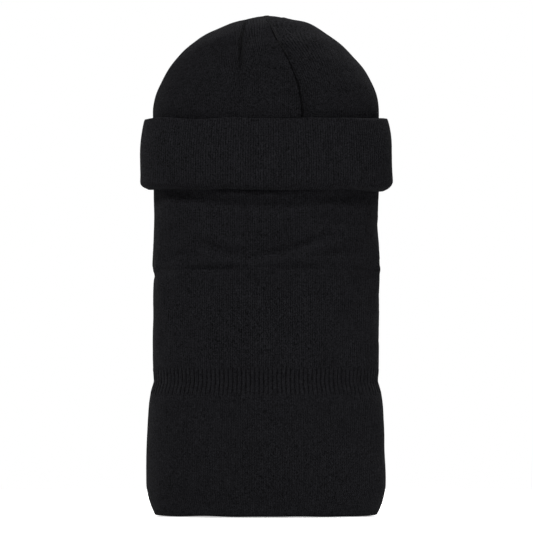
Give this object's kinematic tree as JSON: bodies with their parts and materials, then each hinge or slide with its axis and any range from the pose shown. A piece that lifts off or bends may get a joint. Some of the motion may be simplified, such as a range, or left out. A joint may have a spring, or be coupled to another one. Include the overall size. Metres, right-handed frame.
{
  "type": "balaclava",
  "caption": "Knitted balaclava with a darted crown, a turned-up cuff above a wide face opening, a long ribbed neck tube and a flared bib that hangs over the collar.",
  "frame": {"origin": "centre of the neck opening, in the plane of the hem's edge", "axes": "+Z runs from the hem up to the crown, +Y points out of the face opening, +X is the wearer's right"},
  "size_m": [0.2528, 0.1212, 0.4995],
  "materials": {
    "knit": "fine plain knit, matte",
    "knit_inside": "back of a fine knit, matte",
    "thread": "linked and overlocked thread",
    "label_satin": "blank woven satin tape, charcoal"
  },
  "bodies": {
    "hood": {"crown": "knit", "crown_lining": "knit_inside", "crown_tip_tack": "thread", "dart_seam_back_left": "thread", "dart_seam_back_right": "thread", "dart_seam_front_left": "thread", "dart_seam_front_right": "thread", "brow_seam": "thread", "brow_rim": "knit", "back_panel": "knit", "mouth_panel": "knit", "side_seam_left": "knit", "side_seam_right": "knit", "side_rim_left": "knit", "side_rim_right": "knit", "corner_tacks": "thread", "neck_rib": "knit", "label_tacks": "thread"},
    "cuff": {"cuff_face": "knit", "cuff_lining": "knit_inside"},
    "mouth_rim": {"mouth_rim": "knit"},
    "bib": {"bib": "knit", "hem_facing": "knit_inside", "hem_linking": "thread"},
    "label": {"care_label": "label_satin"}
  },
  "joints": [
    {"name": "cuff_roll_down", "type": "slide", "parent": "hood", "child": "cuff", "axis": [0, 0, -1], "range_m": [0, 0.072]},
    {"name": "mouth_rim_pull", "type": "slide", "parent": "hood", "child": "mouth_rim", "axis": [0, 0, 1], "range_m": [-0.04, 0.045]},
    {"name": "neck_nod", "type": "hinge", "parent": "hood", "child": "bib", "pos_m": [0, 0, 0.135], "axis": [1, 0, 0], "range_deg": [-30, 30]},
    {"name": "label_flap", "type": "hinge", "parent": "hood", "child": "label", "pos_m": [0, -0.04985, 0.324], "axis": [1, 0, 0], "range_deg": [0, 80]}
  ]
}
